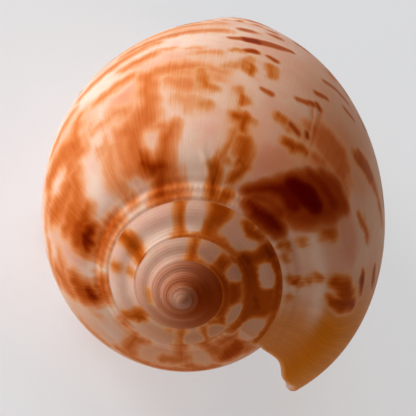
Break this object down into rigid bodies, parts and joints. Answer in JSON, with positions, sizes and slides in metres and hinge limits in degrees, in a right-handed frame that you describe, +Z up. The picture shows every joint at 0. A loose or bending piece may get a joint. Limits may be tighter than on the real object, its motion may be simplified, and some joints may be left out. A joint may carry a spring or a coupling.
{
  "type": "cone shell",
  "caption": "Swollen cone seashell with a low stepped spire, rounded shoulder and a long open mouth, glossy cream and orange-brown, lying on its mouth.",
  "frame": {"origin": "centre of the bounding box's base, on the surface that the shell lies on", "axes": "+Y from the spire towards the front end, +Z up, +X towards the lip"},
  "size_m": [0.0372, 0.06, 0.0303],
  "materials": {
    "shell": "glossy natural shell, cream and pink ground with orange and red-brown patches"
  },
  "bodies": {
    "root": {"shell": "shell"}
  },
  "joints": []
}
